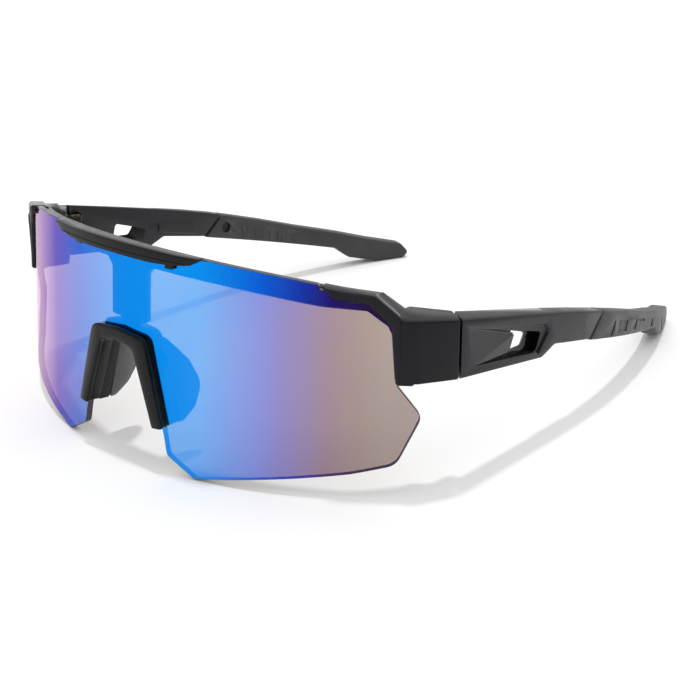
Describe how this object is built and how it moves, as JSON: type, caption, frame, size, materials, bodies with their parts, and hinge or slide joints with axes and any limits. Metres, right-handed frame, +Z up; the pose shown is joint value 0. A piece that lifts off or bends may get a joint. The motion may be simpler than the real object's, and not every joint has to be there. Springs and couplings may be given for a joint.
{
  "type": "wraparound sport sunglasses",
  "caption": "Wraparound sport sunglasses with a mirrored shield lens, half-rim front, clip-in nose piece and folding temples with soft grip tips.",
  "frame": {"origin": "middle of the footprint of the open glasses, on the surface they stand on", "axes": "+X to the wearer's left, -Y the way the lens faces, +Y back along the temples, +Z up"},
  "size_m": [0.1458, 0.1741, 0.0546],
  "materials": {
    "matte_black": "fine satin moulded",
    "gloss_black": "polished",
    "rubber": "soft matte",
    "mirror_lens": "blue mirror coating over a brown-grey tint",
    "steel": "plain",
    "brass": "plain"
  },
  "bodies": {
    "front": {"lens": "mirror_lens", "front_frame": "matte_black", "brow_cap": "gloss_black", "nose_bracket": "gloss_black", "lens_clip_left": "gloss_black", "nose_pad_left": "rubber", "pad_stem_left": "steel", "hinge_screw_left": "steel", "hinge_insert_left": "brass", "lens_clip_right": "gloss_black", "nose_pad_right": "rubber", "pad_stem_right": "steel", "hinge_screw_right": "steel", "hinge_insert_right": "brass"},
    "temple_left": {"temple_arm_left": "matte_black", "temple_tip_left": "rubber", "tip_pin_left": "gloss_black"},
    "temple_right": {"temple_arm_right": "matte_black", "temple_tip_right": "rubber", "tip_pin_right": "gloss_black"}
  },
  "joints": [
    {"name": "temple_hinge_left", "type": "hinge", "parent": "front", "child": "temple_left", "pos_m": [0.067, -0.04355, 0.0343], "axis": [0, 0, 1], "range_deg": [0, 88]},
    {"name": "temple_hinge_right", "type": "hinge", "parent": "front", "child": "temple_right", "pos_m": [-0.067, -0.04355, 0.0343], "axis": [0, 0, -1], "range_deg": [0, 80]}
  ]
}
